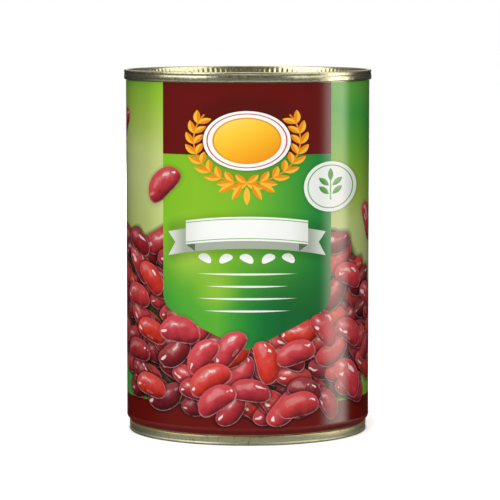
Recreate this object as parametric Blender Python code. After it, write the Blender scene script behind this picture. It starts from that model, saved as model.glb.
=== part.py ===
"""A shut three-piece food can of the 425 ml size, with a stackable base.

Three solids make it: the welded and printed body with its filling, a top end and a smaller base end, each rolled
onto the body in a double seam. The can stands on +Z with its origin at the centre of the foot, and the front of
its print faces -Y. Everything is a turned shape, so each piece is a section of (radius, height) points, spun.
"""

import math

import bmesh
import bpy
from mathutils import Matrix, Vector

MM = 0.001

# Driving dimensions of the can, in millimetres
CAN_HEIGHT = 109.0
BODY_RADIUS = 36.7
TOP_SEAM_RADIUS = 37.3
BASE_SEAM_RADIUS = 35.95
TOP_SEAM_HEIGHT = 3.0
BASE_SEAM_HEIGHT = 2.8

# The double seam and the end that hangs in it
SEAM_THICKNESS = 1.25
SEAM_TOP_ROUND = 0.5
SEAM_HEM_ROUND = 0.3
CHUCK_WALL_LEAN = 0.75
GROOVE_DEPTH = 5.7
GROOVE_RADIUS = 0.7
RIM_PANEL_DEPTH = 4.7
PANEL_UNDERSIDE_DEPTH = 6.6
CUP_WALL = 0.8

# Expansion steps of the panel: how far each lies inside the groove, how wide its slope is, and its depth
PANEL_STEPS = ((4.2, 0.9, 5.2), (9.6, 0.9, 4.8), (16.4, 0.9, 5.3))

# Where the body necks in to the smaller base end
NECK_HEIGHT = 1.7
NECK_SHOULDER = 1.1
NECK_INSET = 1.0

CLEARANCE = 0.3
SEGMENTS = 64
SHARP_ANGLE = math.radians(40)

PRINT_GREEN = (0.13, 0.33, 0.04, 1.0)
TINPLATE = (0.62, 0.60, 0.47, 1.0)


def clear_scene():
    for obj in list(bpy.data.objects):
        bpy.data.objects.remove(obj, do_unlink=True)


def make_material(name, color, roughness, metallic):
    material = bpy.data.materials.new(name)
    material.use_nodes = True
    shader = material.node_tree.nodes["Principled BSDF"]
    shader.inputs["Base Color"].default_value = color
    shader.inputs["Roughness"].default_value = roughness
    shader.inputs["Metallic"].default_value = metallic
    return material


def arc(center, radius, start, end, steps):
    """Points on a circle about (radius, height) center, from one angle to another in degrees."""
    points = []
    for i in range(steps + 1):
        angle = math.radians(start + (end - start) * i / steps)
        points.append((center[0] + radius * math.cos(angle), center[1] + radius * math.sin(angle)))
    return points


def turned(name, section, material):
    """A solid spun about Z from a section that starts and ends on the axis, in millimetres."""
    bm = bmesh.new()
    ring = [bm.verts.new(Vector((radius, 0.0, height)) * MM) for radius, height in section]
    edges = [bm.edges.new(pair) for pair in zip(ring, ring[1:])]
    bmesh.ops.spin(
        bm,
        geom=ring + edges,
        cent=(0.0, 0.0, 0.0),
        axis=(0.0, 0.0, 1.0),
        angle=math.tau,
        steps=SEGMENTS,
        use_merge=True,
    )
    bmesh.ops.remove_doubles(bm, verts=bm.verts, dist=0.001 * MM)
    bmesh.ops.recalc_face_normals(bm, faces=bm.faces)
    mesh = bpy.data.meshes.new(name)
    bm.to_mesh(mesh)
    bm.free()
    mesh.shade_smooth()
    mesh.set_sharp_from_angle(angle=SHARP_ANGLE)
    mesh.materials.append(material)
    obj = bpy.data.objects.new(name, mesh)
    bpy.context.collection.objects.link(obj)
    return obj


def panel_section(groove_inner):
    """The panel's upper face from the axis outwards: flat rings joined by sloping expansion steps."""
    points = []
    depth = RIM_PANEL_DEPTH
    for inset, slope, next_depth in PANEL_STEPS:
        points.append((groove_inner - inset, -depth))
        points.append((groove_inner - inset - slope, -next_depth))
        depth = next_depth
    points.append((0.0, -depth))
    return points[::-1]


def end_section(seam_radius, seam_height):
    """Section of an end from its panel, up the chuck wall, over the seam and back under. The rim's top is at 0."""
    wall_top = seam_radius - SEAM_THICKNESS
    wall_foot = wall_top - CHUCK_WALL_LEAN
    groove_center = (wall_foot - GROOVE_RADIUS, GROOVE_RADIUS - GROOVE_DEPTH)
    groove_inner = groove_center[0] - GROOVE_RADIUS
    cup_radius = wall_foot + CUP_WALL
    return [
        *panel_section(groove_inner),
        (groove_inner - SEAM_HEM_ROUND, -RIM_PANEL_DEPTH),
        *arc(groove_center, GROOVE_RADIUS, 180, 360, 6),
        *arc((wall_top + SEAM_TOP_ROUND, -SEAM_TOP_ROUND), SEAM_TOP_ROUND, 180, 90, 4),
        *arc((seam_radius - SEAM_TOP_ROUND, -SEAM_TOP_ROUND), SEAM_TOP_ROUND, 90, 0, 4),
        *arc((seam_radius - SEAM_HEM_ROUND, SEAM_HEM_ROUND - seam_height), SEAM_HEM_ROUND, 0, -90, 3),
        (cup_radius, -seam_height),
        (cup_radius, -PANEL_UNDERSIDE_DEPTH),
        (0.0, -PANEL_UNDERSIDE_DEPTH),
    ]


def pocket_radius(seam_radius):
    """Radius of the body's mouth round the cup of an end."""
    return seam_radius - SEAM_THICKNESS - CHUCK_WALL_LEAN + CUP_WALL + CLEARANCE


def body_section():
    """Section of the body and its filling, from the pocket of the top end down to that of the base end."""
    top = CAN_HEIGHT - TOP_SEAM_HEIGHT - CLEARANCE
    top_pocket = pocket_radius(TOP_SEAM_RADIUS)
    top_floor = CAN_HEIGHT - PANEL_UNDERSIDE_DEPTH - CLEARANCE
    foot = BASE_SEAM_HEIGHT + CLEARANCE
    base_pocket = pocket_radius(BASE_SEAM_RADIUS)
    base_ceiling = PANEL_UNDERSIDE_DEPTH + CLEARANCE
    shoulder_center = (BODY_RADIUS - NECK_SHOULDER, foot + NECK_HEIGHT)
    return [
        (0.0, top_floor),
        (top_pocket, top_floor),
        (top_pocket, top),
        (BODY_RADIUS, top),
        *arc(shoulder_center, NECK_SHOULDER, 0, -50, 4),
        (BODY_RADIUS - NECK_INSET, foot),
        (base_pocket, foot),
        (base_pocket, base_ceiling),
        (0.0, base_ceiling),
    ]


def build():
    clear_scene()
    printed = make_material("printed_tinplate", PRINT_GREEN, 0.3, 0.0)
    tinplate = make_material("lacquered_tinplate", TINPLATE, 0.3, 1.0)

    turned("body", body_section(), printed)

    top_end = turned("top_end", end_section(TOP_SEAM_RADIUS, TOP_SEAM_HEIGHT), tinplate)
    top_end.location = (0.0, 0.0, CAN_HEIGHT * MM)

    base_end = turned("base_end", end_section(BASE_SEAM_RADIUS, BASE_SEAM_HEIGHT), tinplate)
    base_end.matrix_world = Matrix.Rotation(math.pi, 4, "X")


build()
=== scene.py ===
"""Looks of the shut can of kidney beans: printed tinplate wall, rolled and lacquered ends, white studio.

The print is worked out by formulas on the wall, in millimetres round the can from the front (to the right)
and in millimetres of height, so it keeps its place whatever the mesh. The ends are turned meshes with their
rolled seams, knurled chuck walls and expansion rings in the shape itself.
"""

import math

import bpy
from mathutils import Matrix, Vector


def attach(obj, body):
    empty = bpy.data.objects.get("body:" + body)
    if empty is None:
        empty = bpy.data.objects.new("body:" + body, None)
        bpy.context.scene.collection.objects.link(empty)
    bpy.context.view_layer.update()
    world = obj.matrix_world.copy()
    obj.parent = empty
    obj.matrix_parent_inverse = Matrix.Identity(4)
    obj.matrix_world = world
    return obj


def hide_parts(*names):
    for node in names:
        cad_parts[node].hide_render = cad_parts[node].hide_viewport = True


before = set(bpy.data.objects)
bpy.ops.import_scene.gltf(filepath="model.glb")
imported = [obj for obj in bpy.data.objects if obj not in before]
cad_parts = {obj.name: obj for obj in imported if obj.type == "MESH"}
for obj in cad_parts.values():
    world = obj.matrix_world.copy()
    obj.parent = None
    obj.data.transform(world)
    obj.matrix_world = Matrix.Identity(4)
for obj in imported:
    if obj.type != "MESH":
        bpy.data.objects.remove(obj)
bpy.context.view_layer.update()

MM = 0.001

# Can, in millimetres, as in the frame
CAN_HEIGHT = 109.0
BODY_RADIUS = 36.7
TOP_SEAM_RADIUS = 37.3
BASE_SEAM_RADIUS = 35.95
TOP_SEAM_HEIGHT = 3.0
BASE_SEAM_HEIGHT = 2.8
SEAM_THICKNESS = 1.25
SEAM_TOP_ROUND = 0.5
SEAM_HEM_ROUND = 0.3
CHUCK_WALL_LEAN = 0.75
GROOVE_DEPTH = 5.7
GROOVE_RADIUS = 0.7
RIM_PANEL_DEPTH = 4.7
PANEL_UNDERSIDE_DEPTH = 6.6
CUP_WALL = 0.8
CLEARANCE = 0.3
PANEL_STEPS = ((4.2, 0.9, 5.2), (9.6, 0.9, 4.8), (16.4, 0.9, 5.3))
NECK_HEIGHT = 1.7
NECK_SHOULDER = 1.1
NECK_INSET = 1.0

# Finish of the meshes
BODY_SEGMENTS = 360
BODY_RINGS = 100
STEP_RINGS = 8
KNURL_COUNT = 138
KNURL_DEPTH = 0.11
KNURL_FOOT = 4.9
KNURL_FADE_LOW = 0.8
KNURL_FADE_HIGH = 0.6
SEGMENTS_PER_KNURL = 6
SLACK_IN = 0.02
SLACK_UP = 0.03
SLACK_WAVES = ((1.0, 7, 1.0), (0.7, 23, 2.0), (0.5, 61, 0.0))
SLACK_MOST = sum(size for size, count, start in SLACK_WAVES)
TOP_CROWN = 0.55
TOP_CREST = 0.66
BASE_CROWN = 0.4
BASE_CREST = 0.92
WELD_HEIGHT = 0.07
WELD_HALF_WIDTH = 0.45
NECK_LINE_INSET = 0.4
NECK_LINE_DROP = 0.85
SHARP_ANGLE = math.radians(42)

# Print, in millimetres from the front line and above the foot
TURN = math.tau * BODY_RADIUS
EDGE = 0.05
SHARE_EDGE = 0.005
PANEL_MIDDLE = -0.2
PANEL_HALF_WIDTH = 26.95
PANEL_POINT = 28.3
PANEL_SLOPE = 0.45
PANEL_ROUND = 5.0
HEADER_FOOT = 85.0
BAND_TOP = 11.7
WELD_MARGIN = 2.6
BARE_FOOT = 3.05
SHOULDER_TOP = BASE_SEAM_HEIGHT + CLEARANCE + NECK_HEIGHT
INK_WOBBLE = 0.05


def srgb(red, green, blue):
    """Linear colour from 8-bit screen values."""
    def linear(value):
        share = value / 255
        return share / 12.92 if share <= 0.04045 else ((share + 0.055) / 1.055) ** 2.4
    return (linear(red), linear(green), linear(blue), 1.0)


MAROON = srgb(102, 14, 9)
BLACK = (0.0, 0.0, 0.0, 1.0)
WHITE = srgb(250, 251, 246)
CREAM = srgb(244, 240, 220)
SPRIG_GREEN = srgb(92, 172, 62)
BARE_METAL = srgb(205, 202, 180)


class Net:
    """Builds a node tree from formulas. What feeds a node is made before it: Cycles then keeps few values."""

    def __init__(self, tree):
        self.tree = tree

    def node(self, kind, **settings):
        made = self.tree.nodes.new(kind)
        for name, value in settings.items():
            setattr(made, name, value)
        return made

    def plug(self, socket, value):
        if isinstance(value, Wire):
            self.tree.links.new(value.socket, socket)
        elif value is not None:
            socket.default_value = value

    def wired(self, node, values, output=0):
        for socket, value in values.items():
            self.plug(node.inputs[socket], value)
        return Wire(self, node.outputs[output])

    def math(self, operation, *values):
        node = self.node("ShaderNodeMath", operation=operation)
        return self.wired(node, dict(enumerate(values)))

    def vector(self, operation, *values, output="Vector"):
        node = self.node("ShaderNodeVectorMath", operation=operation)
        return self.wired(node, dict(enumerate(values)), output)

    def scale(self, vector, factor):
        node = self.node("ShaderNodeVectorMath", operation="SCALE")
        return self.wired(node, {0: vector, "Scale": factor}, "Vector")

    def join(self, x, y, z=0.0):
        return self.wired(self.node("ShaderNodeCombineXYZ"), {0: x, 1: y, 2: z})

    def split(self, vector):
        node = self.node("ShaderNodeSeparateXYZ")
        self.plug(node.inputs[0], vector)
        return [Wire(self, output) for output in node.outputs]

    def dot(self, vector, direction):
        return self.vector("DOT_PRODUCT", vector, direction, output="Value")

    def pair(self, vector):
        """The first two parts of a vector."""
        return self.dot(vector, (1.0, 0.0, 0.0)), self.dot(vector, (0.0, 1.0, 0.0))

    def turned_pair(self, vector, degrees):
        """The parts of a flat vector along and across a direction that is turned by degrees."""
        cos, sin = math.cos(math.radians(degrees)), math.sin(math.radians(degrees))
        return self.dot(vector, (cos, sin, 0.0)), self.dot(vector, (-sin, cos, 0.0))

    def parts(self, color):
        """The three parts of a colour output."""
        node = self.node("ShaderNodeSeparateColor")
        self.plug(node.inputs[0], color)
        return [Wire(self, output) for output in node.outputs]

    def mix(self, factor, first, second):
        node = self.node("ShaderNodeMix", data_type="RGBA")
        return self.wired(node, {0: factor, 6: first, 7: second}, 2)

    def dim(self, color, level):
        """The colour times a level from 0 to 1."""
        return self.mix(level, BLACK, color)

    def mix_vector(self, factor, first, second):
        node = self.node("ShaderNodeMix", data_type="VECTOR")
        return self.wired(node, {0: factor, 4: first, 5: second}, 1)

    def mix_number(self, factor, first, second):
        node = self.node("ShaderNodeMix", data_type="FLOAT")
        return self.wired(node, {0: factor, 2: first, 3: second})

    def ramp(self, value, stops, low=0.0, high=1.0):
        """Colour at value, between stops of (value, colour) that lie from low to high."""
        share = (value - low) * (1 / (high - low))
        node = self.node("ShaderNodeValToRGB")
        places = node.color_ramp.elements
        while len(places) < len(stops):
            places.new(1.0)
        for place, (at, color) in zip(places, stops):
            place.position = (at - low) / (high - low)
            place.color = color
        return self.wired(node, {0: share})

    def noise(self, vector, scale, detail=2.0, roughness=0.5, output="Fac"):
        node = self.node("ShaderNodeTexNoise")
        values = {"Vector": vector, "Scale": scale, "Detail": detail, "Roughness": roughness}
        return self.wired(node, values, output)

    def root(self, value):
        return self.math("SQRT", value)

    def least(self, first, second):
        return self.math("MINIMUM", first, second)

    def most(self, first, second):
        return self.math("MAXIMUM", first, second)


class Wire:
    """An output socket that adds, subtracts and multiplies like a number."""

    def __init__(self, net, socket):
        self.net = net
        self.socket = socket

    def __add__(self, other):
        return self.net.math("ADD", self, other)

    def __sub__(self, other):
        return self.net.math("SUBTRACT", self, other)

    def __rsub__(self, other):
        return self.net.math("SUBTRACT", other, self)

    def __mul__(self, other):
        return self.net.math("MULTIPLY", self, other)

    def __abs__(self):
        return self.net.math("ABSOLUTE", self)

    __radd__ = __add__
    __rmul__ = __mul__

    def smooth(self, low, high):
        """0 up to low, 1 from high, and a soft step between. It falls instead where low is the higher."""
        node = self.net.node("ShaderNodeMapRange", interpolation_type="SMOOTHSTEP", clamp=False)
        down = low > high
        values = {0: self, 1: min(low, high), 2: max(low, high), 3: float(down), 4: float(not down)}
        return self.net.wired(node, values)

    def over(self, limit):
        return self.smooth(limit - EDGE, limit + EDGE)

    def under(self, limit):
        return self.smooth(limit + EDGE, limit - EDGE)


def new_material(name, **settings):
    """A material, its net and its Principled shader, with the settings on the shader's own sockets."""
    material = bpy.data.materials.new(name)
    material.use_nodes = True
    shader = material.node_tree.nodes["Principled BSDF"]
    for socket, value in settings.items():
        shader.inputs[socket.replace("_", " ")].default_value = value
    return material, Net(material.node_tree), shader


def place_in_mm(net):
    """The place on the piece, in millimetres."""
    node = net.node("ShaderNodeTexCoord")
    return net.scale(Wire(net, node.outputs["Object"]), 1 / MM)


def bump(net, shader, height, strength, distance):
    node = net.node("ShaderNodeBump")
    normal = net.wired(node, {"Strength": strength, "Distance": distance * MM, "Height": height})
    net.plug(shader.inputs["Normal"], normal)


def ellipse(net, around, height, center, half_width, half_height):
    """Distance from center in shares of the half axes: 1 on the ellipse."""
    across = (around - center[0]) * (1 / half_width)
    up = (height - center[1]) * (1 / half_height)
    return net.root(across * across + up * up)


def within(distance, share):
    """1 inside the ellipse whose half axes are that share of the full ones."""
    return distance.smooth(share + SHARE_EDGE, share - SHARE_EDGE)


def line_round(distance, inner, outer):
    """1 on a line round an ellipse, between two shares of its half axes."""
    return within(distance, outer) * distance.smooth(inner - SHARE_EDGE, inner + SHARE_EDGE)


def rounded_box(net, around, height, center, half_width, half_height, corner):
    """Distance outside a box with round corners, negative inside it."""
    across = net.most(abs(around - center[0]) - (half_width - corner), 0.0)
    up = net.most(abs(height - center[1]) - (half_height - corner), 0.0)
    return net.root(across * across + up * up) - corner


def leaf(net, around, height, center, degrees, half_length, half_width):
    """1 inside a leaf that is pointed at both ends, and the side of its vein: below 0 on the right of it."""
    along, across = net.turned_pair(net.join(around - center[0], height - center[1]), degrees)
    share = along * (1 / half_length)
    return (abs(across) * (1 / half_width) + share * share).smooth(1.04, 0.96), across


# Beans of the print
BEAN_HALF_LENGTH = 6.4
BEAN_HALF_WIDTH = 3.5
BEAN_BEND = 0.026
BEAN_LIFT = 0.35
BEAN_BLUNTNESS = 2.7
BEAN_CELLS_ROUND = 14
BEAN_CELL = TURN / BEAN_CELLS_ROUND
LAYER_DRIFT = (0.13, 0.09)
CELL_ROW_STEP = 131.0
CELL_LAYER_STEP = 7919.0
BEAN_JITTER = 0.16
BEAN_SHRINK_LEAST = 0.93
BEAN_SHRINK_SPREAD = 0.22
BEAN_SWING = math.radians(112)
BEAN_SHADOW = 0.72
LOOSE_SHADOW = 0.25
SIDE_STRETCH = 0.82
# Painted light: how much lighter the beans are painted towards the can's sides
SIDE_PAINTED_LIGHT = 0.2
HEAP_TOP = 61.0
HEAP_FOOT = 10.0
HEAP_LIGHT_LEAST = 0.45
HEAP_LAYERS = 12
HEAP_STEPS = ((0.0, 0.0), (0.5, 0.47), (0.52, 0.02), (0.03, 0.52))
LIGHT_ABOVE = (-0.30, 0.60, 0.74)
GLEAM_ABOVE = (-0.16, 0.36, 0.92)
SPARK_LOW = (-0.50, -0.16, 0.85)
SPARK_HIGH = (0.34, 0.42, 0.84)
SKIN = (
    (0.0, srgb(108, 22, 31)),
    (0.14, srgb(158, 36, 45)),
    (0.4, srgb(207, 55, 67)),
    (0.68, srgb(223, 65, 74)),
    (0.85, srgb(218, 62, 59)),
    (1.0, srgb(234, 57, 34)),
)
SKIN_BLOOM = srgb(224, 120, 122)
SKIN_STREAK = srgb(236, 168, 166)
SKIN_RIM = srgb(232, 158, 160)
GLEAM_WHITE = srgb(255, 236, 232)
SPARK_WHITE = srgb(255, 244, 240)
EYE_RING = srgb(220, 150, 144)
EYE_DARK = srgb(84, 20, 24)
HEAP_GAP = srgb(46, 10, 10)

# Beans listed one by one, in front of the rest: place, angle in degrees, size and tone
FRONT_BEANS = (
    (-26.9, 76.2, 40, 1.08, 0.52),
    (-48.0, 93.0, 50, 0.90, 0.35),
    (45.2, 64.2, -62, 1.00, 0.40),
    (76.0, 92.0, 24, 0.95, 0.60),
    (-72.0, 80.0, -30, 1.00, 0.45),
    (-21.2, 33.4, -4, 1.12, 0.50),
    (-5.4, 28.4, 52, 1.00, 0.56),
    (5.6, 24.6, -76, 1.02, 0.97),
    (14.6, 27.0, 16, 1.00, 0.62),
    (-13.6, 26.2, 48, 0.98, 0.66),
    (-11.4, 19.4, 30, 1.10, 0.93),
    (24.2, 33.2, -48, 0.94, 0.40),
    (-9.4, 13.4, 34, 1.02, 0.46),
    (15.6, 11.6, 10, 1.04, 0.78),
    (33.8, 18.4, -52, 1.10, 0.55),
)


class Grain:
    """Fine unevenness of the print. It is made first, because noise needs room among the values kept."""

    def __init__(self, net, place):
        self.drift = net.noise(place, 0.03, 1.0, 0.4) - 0.5
        self.mottle = net.noise(place, 0.5, 4.0, 0.65)
        self.speck = net.noise(place, 2.4, 2.0, 0.5)
        self.wobble = net.noise(place, 0.9, 1.0, 0.5) - 0.5
        red, green, blue = net.parts(net.noise(place, 0.36, 1.5, 0.5, output="Color"))
        self.ruffle = net.vector("SUBTRACT", net.join(red, green, blue), (0.5, 0.5, 0.5))


class Pile:
    """What shows at a place on the print: the topmost bean's coordinates and tone, its turn, its shade."""

    def __init__(self, net, point):
        self.net = net
        self.point = point
        self.place = (0.0, 0.0, 0.0)
        self.turn = (0.0, 0.0, 0.0)
        self.shade = 1.0

    def lay(self, x, y, angle, tone, light, shrink, depth, present=None):
        """Lays beans on the pile: x runs along each from its centre, y across it. depth is its shadow's."""
        net = self.net
        along = x * (1 / BEAN_HALF_LENGTH) * shrink
        across = (y + x * x * BEAN_BEND - BEAN_LIFT) * (1 / BEAN_HALF_WIDTH) * shrink
        reach = net.math("POWER", abs(along), BEAN_BLUNTNESS) + across * across
        on = net.math("LESS_THAN", reach, 1.0)
        shadow = reach.smooth(1.8, 0.8) * depth
        if present is not None:
            on = on * present
            shadow = shadow * present
        self.shade = net.mix_number(on, (1.0 - shadow) * self.shade, 1.0)
        self.place = net.mix_vector(on, self.place, net.join(along, across, tone))
        self.turn = net.mix_vector(on, self.turn, net.join(angle, light, 1.0))

    def lay_lattice(self, seed, offset, light):
        """Lays one bean in each cell of a lattice, where the cell's centre is in the heap."""
        net = self.net
        shift = (offset[0], offset[1], 0.0)
        grid = net.vector("ADD", net.scale(self.point, 1 / BEAN_CELL), shift)
        index = net.vector("FLOOR", grid)
        number = net.dot(index, (1.0, CELL_ROW_STEP, 0.0)) + seed * CELL_LAYER_STEP
        draw = net.node("ShaderNodeTexWhiteNoise", noise_dimensions="1D")
        net.plug(draw.inputs["W"], number)
        spin, tone, sway = net.parts(Wire(net, draw.outputs["Color"]))
        rise = Wire(net, draw.outputs["Value"])
        stray = net.join((sway - 0.5) * BEAN_JITTER + 0.5, (rise - 0.5) * BEAN_JITTER + 0.5)
        middle = net.vector("ADD", index, stray)
        local = net.scale(net.vector("SUBTRACT", grid, middle), BEAN_CELL)
        center = net.scale(net.vector("SUBTRACT", middle, shift), BEAN_CELL)
        shrink = sway * BEAN_SHRINK_SPREAD + BEAN_SHRINK_LEAST
        angle = (spin - 0.5) * BEAN_SWING + net.math("GREATER_THAN", rise, 0.5) * math.pi
        cos, sin = net.math("COSINE", angle), net.math("SINE", angle)
        x, y = net.dot(local, net.join(cos, sin)), net.dot(local, net.join(sin * -1.0, cos))
        self.lay(x, y, angle, tone, light, shrink, BEAN_SHADOW, self.in_heap(center))

    def room(self, place):
        """How far a place lies under the heap's top and over its foot, both in millimetres."""
        around, height = self.net.pair(place)
        side = abs(around)
        top = HEAP_TOP - side.smooth(36.0, 60.0) * 8.0 - around.smooth(32.0, 44.0) * 12.0
        foot = HEAP_FOOT + side.smooth(20.0, 38.0) * 4.0 + side.smooth(38.0, 46.0) * 12.0
        return top - height, height - foot

    def in_heap(self, center):
        """1 where a bean with that centre belongs to the heap."""
        under, over = self.room(center)
        return self.net.math("GREATER_THAN", under, 0.0) * self.net.math("GREATER_THAN", over, 0.0)

    def cover(self, mask):
        """Covers the pile with something flat, such as a panel."""
        net = self.net
        angle, light, shown = net.split(self.turn)
        self.turn = net.join(angle, light, shown * (1.0 - mask))
        self.shade = net.mix_number(mask, self.shade, 1.0)


def bean_color(net, pile, around, grain):
    """Colour of the topmost bean: a wet, domed skin lit from above, with its gleams, eye and pale rim."""
    along, across, tone = net.split(pile.place)
    angle, light, shown = net.split(pile.turn)
    cos, sin = net.math("COSINE", angle), net.math("SINE", angle)
    reach = net.least(net.math("POWER", abs(along), BEAN_BLUNTNESS) + across * across, 1.0)
    rise = net.root(1.0 - reach)
    lean = along * 0.5
    dome = net.join(lean * cos - across * sin, lean * sin + across * cos, rise * 0.9 + 0.08)
    normal = net.vector("NORMALIZE", net.vector("ADD", dome, net.scale(grain.ruffle, 0.75)))

    def toward(direction):
        return net.dot(normal, Vector(direction).normalized())

    lit = toward(LIGHT_ABOVE)
    own = net.math("FRACT", tone * 37.3)
    skin = net.ramp(tone, SKIN)
    level = (lit.smooth(-0.35, 0.95) * 0.72 + 0.16) * light * (grain.mottle * 0.6 + 0.7)
    # Painted light: the beans are painted lighter towards the can's sides
    color = net.dim(skin, level * (abs(around).smooth(18.0, 46.0) * SIDE_PAINTED_LIGHT + 1.0))
    bloom = lit.smooth(0.5, 1.0) * light * 0.25
    color = net.mix(bloom, color, SKIN_BLOOM)
    facing = toward(GLEAM_ABOVE)
    streak = facing.smooth(0.93, 0.995) * (grain.mottle * 0.8 + 0.2) * light
    color = net.mix(streak * 0.62, color, SKIN_STREAK)
    gleam = facing.smooth(0.987, 0.998) * grain.speck.smooth(0.3, 0.5) * own.smooth(0.2, 0.4) * light
    color = net.mix(gleam * 0.7, color, GLEAM_WHITE)
    low = toward(SPARK_LOW).smooth(0.986, 0.995) * own.smooth(0.35, 0.5)
    high = toward(SPARK_HIGH).smooth(0.989, 0.996) * own.smooth(0.65, 0.5)
    color = net.mix(net.most(low, high) * light * 0.85, color, SPARK_WHITE)
    eye = net.root((along - 0.06) * (along - 0.06) * 15.0 + (across + 0.66) * (across + 0.66) * 70.0)
    has_eye = own.smooth(0.74, 0.76) * light
    color = net.mix(eye.smooth(1.0, 0.75) * has_eye * 0.4, color, EYE_RING)
    color = net.mix(eye.smooth(0.5, 0.35) * has_eye * 0.6, color, EYE_DARK)
    rim = reach.smooth(0.78, 0.97) * lit.smooth(0.95, 0.3) * light * grain.mottle.smooth(0.25, 0.65)
    color = net.mix(rim * 0.6, color, SKIN_RIM)
    return color, shown


# Meadow behind the beans, by height in millimetres from its pale middle at the front
MEADOW_MIDDLE = 65.5
MEADOW_SWING = 13.5
MEADOW_DRIFT = 12.0
MEADOW = (
    (-60.0, srgb(88, 164, 70)),
    (-36.0, srgb(146, 180, 68)),
    (-22.0, srgb(171, 186, 88)),
    (-12.0, srgb(188, 202, 120)),
    (0.0, srgb(196, 208, 134)),
    (10.0, srgb(192, 207, 126)),
    (18.0, srgb(167, 193, 84)),
    (28.0, srgb(136, 184, 58)),
    (35.0, srgb(100, 176, 60)),
    (43.0, srgb(74, 170, 68)),
    (52.0, srgb(104, 182, 68)),
)
GLOW_PALE = srgb(230, 242, 150)
GLOW_FRESH = srgb(176, 232, 36)


def meadow_color(net, around, height, grain):
    """The blurred green behind the beans: fresh green above, a pale hazy middle, grass green below."""
    swing = net.math("SINE", around * (1 / BODY_RADIUS)) * MEADOW_SWING
    place = height + swing - MEADOW_MIDDLE + grain.drift * MEADOW_DRIFT
    color = net.ramp(place, MEADOW, -62.0, 58.0)
    glow = around.smooth(-36.0, -27.0) * around.under(0.0)
    glow_color = net.mix(height.smooth(82.0, 104.0), GLOW_PALE, GLOW_FRESH)
    return net.mix(glow * 0.42, color, glow_color)


# Panel's greens from left to right, in millimetres from the front, in its upper and its lower part
PANEL_UPPER = (
    (-27.0, srgb(134, 200, 38)),
    (-15.0, srgb(139, 194, 42)),
    (-6.0, srgb(133, 189, 42)),
    (2.0, srgb(112, 181, 48)),
    (9.0, srgb(86, 170, 53)),
    (16.0, srgb(60, 153, 54)),
    (22.0, srgb(34, 138, 58)),
    (27.0, srgb(28, 134, 62)),
)
PANEL_LOWER = (
    (-27.0, srgb(52, 158, 58)),
    (-20.0, srgb(80, 170, 54)),
    (-9.0, srgb(92, 174, 51)),
    (-4.0, srgb(62, 153, 52)),
    (0.5, srgb(34, 131, 54)),
    (5.0, srgb(21, 112, 50)),
    (10.0, srgb(21, 101, 46)),
    (24.0, srgb(30, 104, 48)),
)
PANEL_BLEND_TOP = 64.0
PANEL_BLEND_FOOT = 38.0

# Glows on the panel: middle, half width, half height, strength and colour
PANEL_GLOWS = (
    ((-17.0, 57.5), 11.0, 13.0, 0.7, srgb(180, 212, 82)),
    ((-9.5, 46.0), 9.0, 9.0, 0.6, srgb(162, 204, 64)),
)


def panel_color(net, around, height):
    """The panel's glossy green, yellow-green at the left and dark at the right foot, with two glows."""
    upper = net.ramp(around, PANEL_UPPER, -28.0, 28.0)
    lower = net.ramp(around, PANEL_LOWER, -28.0, 28.0)
    color = net.mix(height.smooth(PANEL_BLEND_TOP, PANEL_BLEND_FOOT), upper, lower)
    for center, half_width, half_height, strength, tint in PANEL_GLOWS:
        glow = ellipse(net, around, height, center, half_width, half_height).smooth(1.0, 0.0)
        color = net.mix(glow * strength, color, tint)
    return color


# Emblem over the panel: a bare oval in a wreath of leaves
EMBLEM = (PANEL_MIDDLE, 89.2)
EMBLEM_HALF_WIDTH = 13.0
EMBLEM_HALF_HEIGHT = 8.6
OVAL_LINE_OUTER = 0.92
OVAL_LINE_INNER = 0.89
OVAL_FILL_OUTER = 0.78
OVAL_EDGE_INNER = 0.74
WREATH_HALF_WIDTH = 16.0
WREATH_HALF_HEIGHT = 12.2
WREATH_RADIUS = 14.0
WREATH_LEAVES = 9
WREATH_REACH = math.radians(128)
WREATH_LEAF_OUT = 1.25
WREATH_LEAF_TURN = 34
WREATH_LEAF_HALF_LENGTH = 2.2
TAIL_LEAF_HALF_LENGTH = 2.7
LEAF_HALF_WIDTH = 0.95
STALK_HALF_WIDTH = 0.22
TAIL_LEAVES = ((0.0, 73.2, -90), (2.9, 74.3, -58), (5.9, 75.6, -30))
LEAF_LIGHT = srgb(255, 190, 58)
LEAF_DARK = srgb(240, 143, 24)
WREATH_SHADOW = srgb(16, 20, 4)
OVAL_SHADOW = srgb(30, 14, 6)
OVAL_LINE = srgb(196, 40, 30)
OVAL_EDGE = srgb(226, 150, 30)
OVAL_FILL = (
    (-6.0, srgb(240, 140, 24)),
    (-2.0, srgb(250, 176, 34)),
    (2.0, srgb(255, 205, 58)),
    (6.0, srgb(255, 224, 110)),
)


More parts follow.
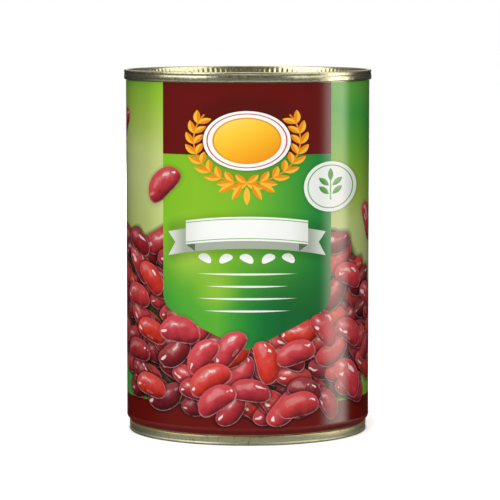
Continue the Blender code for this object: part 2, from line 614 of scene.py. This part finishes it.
def draw_emblem(net, color, around, height):
    """Paints the wreath and the oval. The left half mirrors the right one."""
    aside = abs(around - EMBLEM[0])
    ring = ellipse(net, around, height, EMBLEM, WREATH_HALF_WIDTH, WREATH_HALF_HEIGHT)
    color = net.mix(ring.smooth(1.32, 0.9) * 0.26, color, WREATH_SHADOW)

    across = aside * (1 / WREATH_HALF_WIDTH)
    down = (EMBLEM[1] - height) * (1 / WREATH_HALF_HEIGHT)
    climb = net.math("ARCTAN2", across, down) * (WREATH_LEAVES / WREATH_REACH)
    step = net.math("FRACT", climb) - 0.5
    along = step * (WREATH_REACH / WREATH_LEAVES * WREATH_RADIUS)
    out = (ring - 1.0) * WREATH_RADIUS
    in_reach = climb.smooth(WREATH_LEAVES + 0.02, WREATH_LEAVES - 0.02)
    color = net.mix(abs(out).under(STALK_HALF_WIDTH) * in_reach, color, LEAF_DARK)
    for side in (-1, 1):
        place = (0.0, WREATH_LEAF_OUT * side)
        degrees = WREATH_LEAF_TURN * side
        mask, vein = leaf(net, along, out, place, degrees, WREATH_LEAF_HALF_LENGTH, LEAF_HALF_WIDTH)
        tint = net.mix(vein.smooth(-0.08, 0.08), LEAF_DARK, LEAF_LIGHT)
        color = net.mix(mask * in_reach, color, tint)
    for center_aside, center_up, degrees in TAIL_LEAVES:
        place = (center_aside, center_up)
        mask, vein = leaf(net, aside, height, place, degrees, TAIL_LEAF_HALF_LENGTH, LEAF_HALF_WIDTH)
        tint = net.mix(vein.smooth(-0.08, 0.08), LEAF_DARK, LEAF_LIGHT)
        color = net.mix(mask, color, tint)

    oval = ellipse(net, around, height, EMBLEM, EMBLEM_HALF_WIDTH, EMBLEM_HALF_HEIGHT)
    color = net.mix(oval.smooth(1.10, 0.98) * 0.35, color, OVAL_SHADOW)
    color = net.mix(within(oval, 1.0), color, WHITE)
    color = net.mix(line_round(oval, OVAL_LINE_INNER, OVAL_LINE_OUTER), color, OVAL_LINE)
    fill = net.ramp((height - EMBLEM[1]) * 0.6 - (around - EMBLEM[0]) * 0.25, OVAL_FILL, -7.0, 7.0)
    color = net.mix(within(oval, OVAL_FILL_OUTER), color, fill)
    return net.mix(line_round(oval, OVAL_EDGE_INNER, OVAL_FILL_OUTER), color, OVAL_EDGE)


# Ribbon across the panel, its small beans and the rules under it
RIBBON_MIDDLE = 63.7
RIBBON_SAG = 0.0042
RIBBON_HALF_HEIGHT = 3.5
RIBBON_HALF_LENGTH = 18.6
TAIL_DROP = 2.3
TAIL_START = 15.6
TAIL_END = 24.9
TAIL_NOTCH = 2.6
RIBBON_LINE_INNER = 2.74
RIBBON_LINE_OUTER = 2.96
RIBBON_SHADOW = srgb(24, 70, 24)
RIBBON_END = srgb(236, 240, 230)
TAIL_DARK = srgb(168, 176, 160)
TAIL_LIGHT = srgb(232, 236, 226)
FOLD_DARK = srgb(96, 108, 88)
SMALL_BEANS_HEIGHT = 55.0
SMALL_BEAN_GAP = 6.2
SMALL_BEAN_HALF_LENGTH = 2.3
SMALL_BEAN_HALF_WIDTH = 1.3
SMALL_BEAN_LEAN = 0.45
SMALL_BEAN_BEND = 0.09
SMALL_BEAN_LIFT = 0.15
SMALL_BEANS_ASIDE = 2
RULES = ((50.4, 14.6), (46.8, 12.0), (43.2, 14.8), (39.6, 12.6))
RULE_HALF_HEIGHT = 0.3


def draw_ribbon(net, color, around, height):
    aside = abs(around - PANEL_MIDDLE)
    middle = RIBBON_MIDDLE - aside * aside * RIBBON_SAG
    off = height - middle
    off_tail = abs(off + TAIL_DROP)
    shade = rounded_box(net, around, off, (PANEL_MIDDLE, -1.8), TAIL_END, 5.6, 2.0)
    color = net.mix(shade.smooth(2.2, -2.0) * 0.4, color, RIBBON_SHADOW)

    tail_end = off_tail * (TAIL_NOTCH / RIBBON_HALF_HEIGHT) + (TAIL_END - TAIL_NOTCH)
    tail = off_tail.under(RIBBON_HALF_HEIGHT) * (aside - tail_end).under(0.0)
    tail_tint = net.mix(aside.smooth(TAIL_START + 2.5, TAIL_END), TAIL_DARK, TAIL_LIGHT)
    color = net.mix(tail, color, tail_tint)
    fold = (aside.over(TAIL_START) * aside.under(RIBBON_HALF_LENGTH) * off.under(-RIBBON_HALF_HEIGHT)
            * (off_tail - RIBBON_HALF_HEIGHT).under(0.0))
    color = net.mix(fold, color, FOLD_DARK)
    under_fold = (RIBBON_HALF_LENGTH - aside) * (TAIL_DROP / (RIBBON_HALF_LENGTH - TAIL_START))
    slack = (off + RIBBON_HALF_HEIGHT + under_fold).under(0.0) * fold
    color = net.mix(slack, color, tail_tint)

    band = abs(off).under(RIBBON_HALF_HEIGHT) * aside.under(RIBBON_HALF_LENGTH)
    color = net.mix(band, color, net.mix(aside.smooth(12.0, RIBBON_HALF_LENGTH), WHITE, RIBBON_END))
    line = abs(off).over(RIBBON_LINE_INNER) * abs(off).under(RIBBON_LINE_OUTER)
    return net.mix(line * aside.under(RIBBON_HALF_LENGTH), color, SPRIG_GREEN)


def draw_small_beans(net, color, around, height):
    """A row of small white beans, each leaning the other way from the last."""
    place = (around - PANEL_MIDDLE) * (1 / SMALL_BEAN_GAP)
    index = net.math("ROUND", place)
    lean = net.math("PINGPONG", index, 1.0) * (2 * SMALL_BEAN_LEAN) - SMALL_BEAN_LEAN
    aside = (place - index) * SMALL_BEAN_GAP
    up = height - SMALL_BEANS_HEIGHT
    x = aside + up * lean
    y = up - aside * lean
    across = (y + x * x * SMALL_BEAN_BEND - SMALL_BEAN_LIFT) * (1 / SMALL_BEAN_HALF_WIDTH)
    along = x * (1 / SMALL_BEAN_HALF_LENGTH)
    bean = (along * along + across * across).smooth(1.08, 0.94)
    return net.mix(bean * abs(index).under(SMALL_BEANS_ASIDE + 0.5), color, WHITE)


def draw_rules(net, color, around, height):
    for rule_height, half_length in RULES:
        share = (around - PANEL_MIDDLE) * (1 / half_length)
        mask = (abs(height - rule_height) * (1 / RULE_HALF_HEIGHT) + share * share).smooth(1.15, 0.85)
        color = net.mix(mask * 0.92, color, WHITE)
    return color


# Badge at the panel's right edge, stretched round the can so that it looks round from the front
BADGE = (24.3, 75.4)
BADGE_HALF_WIDTH = 7.9
BADGE_HALF_HEIGHT = 7.35
BADGE_LEAVES = ((0.0, 3.5, 90, 1.9), (2.0, 1.5, 38, 1.9), (2.0, -1.0, 38, 1.9))
BADGE_LEAF_HALF_WIDTH = 0.8
BADGE_LINE_OUTER = 0.87
BADGE_LINE_INNER = 0.83
BADGE_STEM_HALF_WIDTH = 0.17
BADGE_STEM_HALF_LENGTH = 3.1
BADGE_STEM_DROP = 0.8
BADGE_SHADOW = srgb(20, 50, 16)
SPRIG_DARK = srgb(70, 150, 56)


def draw_badge(net, color, around, height):
    before = abs(around).under(TURN / 4)
    across = net.math("SINE", around * (1 / BODY_RADIUS)) * BODY_RADIUS * before
    disc = ellipse(net, across, height, BADGE, BADGE_HALF_WIDTH, BADGE_HALF_HEIGHT)
    color = net.mix(disc.smooth(1.14, 0.96) * 0.3, color, BADGE_SHADOW)
    color = net.mix(disc.smooth(1.006, 0.994), color, WHITE)
    color = net.mix(line_round(disc, BADGE_LINE_INNER, BADGE_LINE_OUTER), color, SPRIG_GREEN)
    aside = abs(across - BADGE[0])
    up = height - BADGE[1]
    for center_aside, center_up, degrees, half_length in BADGE_LEAVES:
        place = (center_aside, center_up)
        mask, vein = leaf(net, aside, up, place, degrees, half_length, BADGE_LEAF_HALF_WIDTH)
        color = net.mix(mask, color, net.mix(vein.smooth(-0.05, 0.05), SPRIG_DARK, SPRIG_GREEN))
    stem = aside.under(BADGE_STEM_HALF_WIDTH) * abs(up + BADGE_STEM_DROP).under(BADGE_STEM_HALF_LENGTH)
    return net.mix(stem, color, SPRIG_GREEN)


# Two panels on the back, where such a can has its small print
BACK_PANEL_ASIDE = 86.0
BACK_PANEL_MIDDLE = 60.0
BACK_PANEL_HALF_WIDTH = 21.0
BACK_PANEL_HALF_HEIGHT = 36.0
BACK_PANEL_CORNER = 3.0
FRAME_LINE_OUTER = -1.1
FRAME_LINE_INNER = -1.6
TABLE_LINE_GAP = 5.4
TABLE_LINE_HALF_WIDTH = 0.16
TABLE_COLUMN = 8.0
TABLE_INSET = 2.8
TABLE_GREEN = srgb(70, 120, 62)


def draw_back_panels(net, color, around, height):
    """An empty ruled table right of the front and a plain framed panel left of it."""
    center = (BACK_PANEL_ASIDE, BACK_PANEL_MIDDLE)
    size = (BACK_PANEL_HALF_WIDTH, BACK_PANEL_HALF_HEIGHT)
    outside = rounded_box(net, abs(around), height, center, *size, BACK_PANEL_CORNER)
    color = net.mix(outside.under(0.0), color, CREAM)
    frame_line = outside.over(FRAME_LINE_INNER) * outside.under(FRAME_LINE_OUTER)
    color = net.mix(frame_line, color, MAROON)
    row = abs(net.math("FRACT", height * (1 / TABLE_LINE_GAP)) - 0.5) * TABLE_LINE_GAP
    ruled = row.under(TABLE_LINE_HALF_WIDTH)
    column = abs(around - (BACK_PANEL_ASIDE + TABLE_COLUMN)).under(TABLE_LINE_HALF_WIDTH)
    table = net.most(ruled, column) * outside.under(-TABLE_INSET) * around.over(0.0)
    return net.mix(table, color, TABLE_GREEN)


def print_color(net, around, height, grain):
    """The whole print, painted from the back to the front."""
    color = meadow_color(net, around, height, grain)
    color = net.mix(height.under(BAND_TOP), color, MAROON)

    outer = net.most(abs(around) - PANEL_HALF_WIDTH, 0.0) * (1.0 - SIDE_STRETCH)
    pile = Pile(net, net.join(around - net.math("SIGN", around) * outer, height))
    under, over = pile.room(pile.point)
    color = net.mix(under.smooth(-1.0, 5.0) * over.smooth(-1.0, 4.0) * 0.9, color, HEAP_GAP)
    for layer in range(HEAP_LAYERS):
        step = HEAP_STEPS[layer % len(HEAP_STEPS)]
        light = HEAP_LIGHT_LEAST + (1.0 - HEAP_LIGHT_LEAST) * layer / (HEAP_LAYERS - 1)
        offset = (step[0] + LAYER_DRIFT[0] * layer, step[1] + LAYER_DRIFT[1] * layer)
        pile.lay_lattice(layer + 1.0, offset, light)

    from_middle = abs(around - PANEL_MIDDLE)
    side = from_middle - PANEL_HALF_WIDTH
    foot = (from_middle * PANEL_SLOPE + PANEL_POINT - height) * math.cos(math.atan(PANEL_SLOPE))
    outside = net.math("SMOOTH_MAX", side, foot, PANEL_ROUND)
    panel = outside.under(0.0)
    color = net.mix(panel, color, panel_color(net, around, height))
    color = net.mix(panel * height.over(HEADER_FOOT), color, MAROON)
    pile.cover(panel)
    color = draw_rules(net, color, around, height)
    color = draw_small_beans(net, color, around, height)
    color = draw_ribbon(net, color, around, height)
    color = draw_emblem(net, color, around, height)

    for place_around, place_up, degrees, size, tone in FRONT_BEANS:
        local = net.vector("SUBTRACT", pile.point, (place_around, place_up, 0.0))
        x, y = net.turned_pair(local, degrees)
        pile.lay(x, y, math.radians(degrees), tone, 1.0, 1.0 / size, LOOSE_SHADOW)

    beans, shown = bean_color(net, pile, around, grain)
    color = net.dim(net.mix(shown, color, beans), pile.shade)
    color = draw_badge(net, color, around, height)
    return draw_back_panels(net, color, around, height)


def printed_tinplate():
    material, net, shader = new_material("printed_tinplate", IOR=1.5)
    place = place_in_mm(net)
    grain = Grain(net, place)
    x, y, z = net.split(place)
    around = net.math("ARCTAN2", x, y * -1.0) * BODY_RADIUS + grain.wobble * INK_WOBBLE
    height = z + grain.wobble * INK_WOBBLE
    color = print_color(net, around, height, grain)
    bare = net.most(abs(around).over(TURN / 2 - WELD_MARGIN), height.under(BARE_FOOT))
    color = net.mix(bare, color, BARE_METAL)
    net.plug(shader.inputs["Base Color"], color)
    net.plug(shader.inputs["Metallic"], bare * 0.55)
    shoulder = z.smooth(SHOULDER_TOP + 0.8, SHOULDER_TOP - 0.2)
    printed = grain.mottle * 0.06 + shoulder * 0.45 + 0.13
    net.plug(shader.inputs["Roughness"], net.mix_number(bare, printed, grain.mottle * 0.1 + 0.27))
    bump(net, shader, net.noise(place, 1.6, 2.0, 0.5), 0.25, 0.01)
    return material


# Lacquer of the ends: its tints, and where it is golden, dull or stained, with a golden band along the base
# seam's top edge
LACQUER_DARK = srgb(198, 194, 160)
LACQUER_LIGHT = srgb(214, 211, 184)
LACQUER_STREAK = srgb(160, 150, 104)
LACQUER_GOLD = srgb(204, 190, 122)
LOW_SEAM_DARK = srgb(170, 168, 136)
LOW_SEAM_LIGHT = srgb(190, 188, 156)
GOLD_RADIUS = 36.2
GOLD_FOOT = 100.0
LOW_SEAM_TOP = 3.0
GOLD_BAND_FOOT = 2.2
GOLD_BAND_TOP = 2.75
GOLD_BAND_COLOR = srgb(196, 172, 96)
STAIN = srgb(112, 98, 60)


def lacquered_tinplate():
    material, net, shader = new_material("lacquered_tinplate", Metallic=0.9)
    place = place_in_mm(net)
    x, y, z = net.split(place)
    around = net.math("ARCTAN2", x, y) * 6.0
    radius = net.math("SQRT", x * x + y * y)
    rolled = net.noise(net.join(around, radius * 6.0, z * 6.0), 0.6, 4.0, 0.6)
    cloud = net.noise(place, 0.12, 3.0, 0.6)
    tint = net.mix(cloud, LACQUER_DARK, LACQUER_LIGHT)
    color = net.mix(rolled.smooth(0.35, 0.8) * 0.55, tint, LACQUER_STREAK)
    inside = radius.smooth(GOLD_RADIUS, GOLD_RADIUS - 0.5) * z.smooth(GOLD_FOOT, GOLD_FOOT + 2.0)
    color = net.mix(inside * 0.7, color, LACQUER_GOLD)
    low = z.smooth(LOW_SEAM_TOP + 2.0, LOW_SEAM_TOP)
    color = net.mix(low, color, net.mix(rolled, LOW_SEAM_DARK, LOW_SEAM_LIGHT))
    # A golden band along the top edge of the base seam
    gold_band = z.smooth(GOLD_BAND_FOOT, GOLD_BAND_TOP) * low
    color = net.mix(gold_band * 0.8, color, GOLD_BAND_COLOR)
    stain = net.noise(place, 0.9, 4.0, 0.7).smooth(0.54, 0.66)
    color = net.mix(stain * (radius.smooth(30.0, 34.0) * 0.45 + 0.15), color, STAIN)
    net.plug(shader.inputs["Base Color"], color)
    net.plug(shader.inputs["Roughness"], rolled * 0.16 + cloud * 0.08 + low * 0.2 + 0.1)
    bump(net, shader, rolled, 0.4, 0.02)
    return material


def arc(center, radius, start, end, steps):
    """Points on a circle about (radius, height) center, from one angle to another in degrees."""
    points = []
    for i in range(steps + 1):
        angle = math.radians(start + (end - start) * i / steps)
        points.append((center[0] + radius * math.cos(angle), center[1] + radius * math.sin(angle)))
    return points


def straight(start, end, steps):
    """Points between two, without the first and the last."""
    return [
        (start[0] + (end[0] - start[0]) * i / steps, start[1] + (end[1] - start[1]) * i / steps)
        for i in range(1, steps)
    ]


def turned(name, section, segments, material, shift=None):
    """A mesh spun about Z from a section that starts and ends on the axis, each point moved by shift."""
    rings = section[1:-1]
    verts = [(0.0, 0.0, section[0][1] * MM), (0.0, 0.0, section[-1][1] * MM)]
    for radius, height in rings:
        for i in range(segments):
            angle = math.tau * i / segments
            r, h = shift(angle, radius, height) if shift else (radius, height)
            verts.append((r * math.sin(angle) * MM, -r * math.cos(angle) * MM, h * MM))
    first = 2
    last = first + (len(rings) - 1) * segments
    faces = []
    for i in range(segments):
        after = (i + 1) % segments
        faces.append((0, first + after, first + i))
        for ring in range(first, last, segments):
            faces.append((ring + i, ring + after, ring + segments + after, ring + segments + i))
        faces.append((1, last + i, last + after))
    mesh = bpy.data.meshes.new(name)
    mesh.from_pydata(verts, [], faces)
    mesh.validate()
    mesh.shade_smooth()
    mesh.set_sharp_from_angle(angle=SHARP_ANGLE)
    mesh.materials.append(material)
    piece = bpy.data.objects.new(name, mesh)
    bpy.context.collection.objects.link(piece)
    return piece


def panel_section(groove_inner):
    """The panel's upper face from the axis outwards, its expansion steps rounded."""
    points = [(groove_inner - SEAM_HEM_ROUND, -RIM_PANEL_DEPTH)]
    depth = RIM_PANEL_DEPTH
    for inset, slope, next_depth in PANEL_STEPS:
        for i in range(STEP_RINGS + 1):
            share = i / STEP_RINGS
            ease = share * share * (3 - 2 * share)
            points.append((groove_inner - inset - slope * share, -depth - (next_depth - depth) * ease))
        depth = next_depth
    points.append((0.0, -depth))
    return points[::-1]


def end_section(seam_radius, seam_height):
    """Section of an end from its panel, up the chuck wall, over the seam and back under. Its rim is at 0."""
    wall_top = seam_radius - SEAM_THICKNESS
    wall_foot = wall_top - CHUCK_WALL_LEAN
    groove_center = (wall_foot - GROOVE_RADIUS, GROOVE_RADIUS - GROOVE_DEPTH)
    groove_inner = groove_center[0] - GROOVE_RADIUS
    cup_radius = wall_foot + CUP_WALL
    wall_low = (wall_foot, groove_center[1])
    wall_high = (wall_top, -SEAM_TOP_ROUND)
    return [
        *panel_section(groove_inner),
        *arc(groove_center, GROOVE_RADIUS, 180, 360, 14),
        *straight(wall_low, wall_high, 12),
        *arc((wall_top + SEAM_TOP_ROUND, -SEAM_TOP_ROUND), SEAM_TOP_ROUND, 180, 90, 8),
        *arc((seam_radius - SEAM_TOP_ROUND, -SEAM_TOP_ROUND), SEAM_TOP_ROUND, 90, 0, 8),
        *straight((seam_radius, -SEAM_TOP_ROUND), (seam_radius, SEAM_HEM_ROUND - seam_height), 6),
        *arc((seam_radius - SEAM_HEM_ROUND, SEAM_HEM_ROUND - seam_height), SEAM_HEM_ROUND, 0, -90, 6),
        (cup_radius, -seam_height),
        (cup_radius, -PANEL_UNDERSIDE_DEPTH),
        (0.0, -PANEL_UNDERSIDE_DEPTH),
    ]


def rolled_shift(seam_radius, seam_height, crown, crest):
    """How a rolled end differs from a turned one: knurls on the chuck wall, slack hem, crowned seam wall.

    The crest of the crown lies at the share crest of the way down from the rim.
    """
    wall_top = seam_radius - SEAM_THICKNESS
    wall_foot = wall_top - CHUCK_WALL_LEAN

    def shift(angle, radius, height):
        if wall_foot - 0.01 <= radius <= wall_top and -KNURL_FOOT < height < -SEAM_TOP_ROUND:
            from_foot = min(1.0, (height + KNURL_FOOT) / KNURL_FADE_LOW)
            from_top = min(1.0, (-SEAM_TOP_ROUND - height) / KNURL_FADE_HIGH)
            wave = 0.5 - 0.5 * math.cos(KNURL_COUNT * angle)
            radius -= KNURL_DEPTH * from_foot * from_top * wave
        if radius > wall_top + SEAM_TOP_ROUND and height < -SEAM_TOP_ROUND:
            down = (-height - SEAM_TOP_ROUND) / (seam_height - SEAM_TOP_ROUND)
            slack = sum(size * math.sin(count * angle + start) for size, count, start in SLACK_WAVES)
            radius -= crown * (down - crest) ** 2 + SLACK_IN * down * (SLACK_MOST + slack)
            height += SLACK_UP * down * slack
        return radius, height

    return shift


def pocket_radius(seam_radius):
    """Radius of the body's mouth round the cup of an end."""
    return seam_radius - SEAM_THICKNESS - CHUCK_WALL_LEAN + CUP_WALL + CLEARANCE


def body_section():
    """Section of the body and its filling, from the pocket of the top end down to that of the base end."""
    top = CAN_HEIGHT - TOP_SEAM_HEIGHT - CLEARANCE / 2
    top_pocket = pocket_radius(TOP_SEAM_RADIUS)
    top_floor = CAN_HEIGHT - PANEL_UNDERSIDE_DEPTH - CLEARANCE
    foot = BASE_SEAM_HEIGHT + CLEARANCE / 2
    base_pocket = pocket_radius(BASE_SEAM_RADIUS)
    base_ceiling = PANEL_UNDERSIDE_DEPTH + CLEARANCE
    shoulder_center = (BODY_RADIUS - NECK_SHOULDER, SHOULDER_TOP)
    neck_line_top = (BODY_RADIUS - NECK_LINE_INSET, SHOULDER_TOP - NECK_LINE_DROP)
    neck_foot = (BODY_RADIUS - NECK_INSET, foot)
    return [
        (0.0, top_floor),
        (top_pocket, top_floor),
        (top_pocket, top),
        (BODY_RADIUS, top),
        *straight((BODY_RADIUS, top), (BODY_RADIUS, SHOULDER_TOP), BODY_RINGS),
        *arc(shoulder_center, NECK_SHOULDER, 0, -50, 10),
        *straight(neck_line_top, neck_foot, 4),
        neck_foot,
        (base_pocket, foot),
        (base_pocket, base_ceiling),
        (0.0, base_ceiling),
    ]


def weld_shift(angle, radius, height):
    """Raises the weld, which runs up the back of the wall."""
    if radius < BODY_RADIUS - NECK_INSET - 0.1:
        return radius, height
    from_weld = (math.pi - angle) * BODY_RADIUS
    return radius + WELD_HEIGHT * math.exp(-(from_weld / WELD_HALF_WIDTH) ** 2), height


def build_can():
    printed = printed_tinplate()
    tinplate = lacquered_tinplate()
    end_segments = KNURL_COUNT * SEGMENTS_PER_KNURL

    wall = turned("can_wall", body_section(), BODY_SEGMENTS, printed, weld_shift)
    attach(wall, "root")
    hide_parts("body")

    top_section = end_section(TOP_SEAM_RADIUS, TOP_SEAM_HEIGHT)
    top_shift = rolled_shift(TOP_SEAM_RADIUS, TOP_SEAM_HEIGHT, TOP_CROWN, TOP_CREST)
    top = turned("can_top", top_section, end_segments, tinplate, top_shift)
    top.data.transform(Matrix.Translation((0.0, 0.0, CAN_HEIGHT * MM)))
    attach(top, "root")
    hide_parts("top_end")

    base_section = end_section(BASE_SEAM_RADIUS, BASE_SEAM_HEIGHT)
    base_shift = rolled_shift(BASE_SEAM_RADIUS, BASE_SEAM_HEIGHT, BASE_CROWN, BASE_CREST)
    base = turned("can_base", base_section, end_segments, tinplate, base_shift)
    base.data.transform(Matrix.Rotation(math.pi, 4, "X"))
    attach(base, "root")
    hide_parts("base_end")


# Studio, in metres
CAMERA_PLACE = (0.0007, -0.8467, 0.1314)
CAMERA_TILT = math.radians(5.21)
FOCAL_PIXELS = 2804.6
IMAGE_PIXELS = 500
SENSOR_MM = 36.0
FLOOR_SIZE = 12.0
FLOOR_CELLS = 24
WHITE_LIGHT = (1.0, 1.0, 1.0, 1.0)
WARM_LIGHT = (1.0, 0.9, 0.78, 1.0)
EVEN_LIGHT = 0.21
LAMP_SIZE = 0.6
LAMPS = (
    ("front", 12.6, (-0.12, -1.24, 0.45)),
    ("back", 8.0, (0.0, 1.25, 0.5)),
    ("back_left", 2.7, (-1.0, 0.75, 0.5)),
    ("back_right", 3.1, (1.0, 0.75, 0.5)),
)

# Softboxes of the world, in degrees: azimuth from and to, elevation from and to, softness across and up
KEY_BOX = ((79.5, 105.5), (-13.0, 3.0), 8.0, 3.0)
LEFT_BOX = ((-88.0, -36.0), (8.0, 66.0), 7.0, 4.0)
RIGHT_BOX = ((40.0, 96.0), (8.0, 66.0), 6.0, 6.0)
KEY_STRENGTH = 4.3
LEFT_STRENGTH = 3.2
RIGHT_STRENGTH = 1.9


def build_camera():
    data = bpy.data.cameras.new("camera")
    data.sensor_width = SENSOR_MM
    data.lens = FOCAL_PIXELS / IMAGE_PIXELS * SENSOR_MM
    camera = bpy.data.objects.new("camera", data)
    camera.location = CAMERA_PLACE
    camera.rotation_euler = (math.pi / 2 - CAMERA_TILT, 0.0, 0.0)
    bpy.context.collection.objects.link(camera)
    bpy.context.scene.camera = camera


def build_floor():
    half = FLOOR_SIZE / 2
    places = [FLOOR_SIZE / FLOOR_CELLS * i - half for i in range(FLOOR_CELLS + 1)]
    verts = [(x, y, 0.0) for y in places for x in places]
    row = len(places)
    faces = []
    for j in range(FLOOR_CELLS):
        for i in range(FLOOR_CELLS):
            corner = j * row + i
            faces.append((corner, corner + 1, corner + row + 1, corner + row))
    mesh = bpy.data.meshes.new("floor")
    mesh.from_pydata(verts, [], faces)
    material, net, shader = new_material("floor", Roughness=0.9, Specular_IOR_Level=0.1)
    grain = net.noise(place_in_mm(net), 0.02, 2.0, 0.5)
    net.plug(shader.inputs["Base Color"], net.mix(grain, srgb(250, 250, 249), srgb(253, 253, 253)))
    mesh.materials.append(material)
    floor = bpy.data.objects.new("floor", mesh)
    floor.visible_glossy = False
    floor.visible_diffuse = False
    bpy.context.collection.objects.link(floor)


def add_light(name, kind, energy, place, size):
    """A lamp that points at the can's middle and isn't mirrored in it, as the world holds the softboxes."""
    data = bpy.data.lights.new(name, kind)
    data.energy = energy
    if kind == "AREA":
        data.size = size
    else:
        data.angle = size
    lamp = bpy.data.objects.new(name, data)
    lamp.location = place
    target = Vector((0.0, 0.0, CAN_HEIGHT / 2 * MM))
    lamp.rotation_euler = (target - Vector(place)).to_track_quat("-Z", "Y").to_euler()
    lamp.visible_glossy = False
    bpy.context.collection.objects.link(lamp)


def softbox(net, azimuth, elevation, across, up, soft_across, soft_up):
    """1 inside a softbox that spans those degrees of azimuth across and of elevation up, with soft edges."""
    inside = azimuth.smooth(across[0] - soft_across, across[0] + soft_across)
    inside = inside * azimuth.smooth(across[1] + soft_across, across[1] - soft_across)
    inside = inside * elevation.smooth(up[0] - soft_up, up[0] + soft_up)
    return inside * elevation.smooth(up[1] + soft_up, up[1] - soft_up)


def build_world():
    """White behind the can, even light for matt surfaces, and softboxes between dark flags for glossy ones.

    Azimuth 0 is in front of the can and grows to the right, in degrees.
    """
    world = bpy.data.worlds.new("studio")
    world.use_nodes = True
    world.node_tree.nodes.clear()
    net = Net(world.node_tree)
    coordinates = net.node("ShaderNodeTexCoord")
    x, y, z = net.split(Wire(net, coordinates.outputs["Generated"]))
    azimuth = net.math("ARCTAN2", x, y * -1.0) * math.degrees(1.0)
    elevation = net.math("ARCSINE", z) * math.degrees(1.0)
    aside = abs(azimuth)
    key = softbox(net, azimuth, elevation, *KEY_BOX)
    left = softbox(net, azimuth, elevation, *LEFT_BOX) * LEFT_STRENGTH
    right = softbox(net, azimuth, elevation, *RIGHT_BOX) * RIGHT_STRENGTH
    high = elevation.smooth(4.0, 22.0) * (aside.smooth(25.0, 70.0) * 0.22 + 0.07)
    zenith = elevation.smooth(50.0, 75.0) * 0.35
    low = elevation.smooth(16.0, 4.0) * aside.smooth(110.0, 70.0) * 0.13
    ground = elevation.smooth(-10.0, -19.0) * elevation.smooth(-54.0, -32.0)
    ground = ground * aside.smooth(130.0, 85.0) * 0.55
    behind = aside.smooth(164.0, 176.0) * 0.8
    mirrored = key * KEY_STRENGTH + left + right + high + zenith + low + ground + behind + 0.01
    path = net.node("ShaderNodeLightPath")
    seen = Wire(net, path.outputs["Is Camera Ray"])
    glossy = Wire(net, path.outputs["Is Glossy Ray"])
    even = net.mix_number(glossy, EVEN_LIGHT, mirrored)
    strength = net.mix_number(seen, even, 1.0)
    background = net.node("ShaderNodeBackground")
    net.plug(background.inputs["Color"], net.mix(key * glossy, WHITE_LIGHT, WARM_LIGHT))
    net.plug(background.inputs["Strength"], strength)
    output = net.node("ShaderNodeOutputWorld")
    net.tree.links.new(background.outputs[0], output.inputs["Surface"])
    world.cycles.sampling_method = "NONE"
    bpy.context.scene.world = world


def build_studio():
    build_camera()
    build_floor()
    build_world()
    add_light("overhead", "SUN", 2.65, (-0.03, -0.14, 1.0), math.radians(40))
    for name, energy, place in LAMPS:
        add_light(name, "AREA", energy, place, LAMP_SIZE)
    bpy.context.scene.view_settings.view_transform = "Standard"


build_can()
build_studio()
bpy.context.view_layer.update()
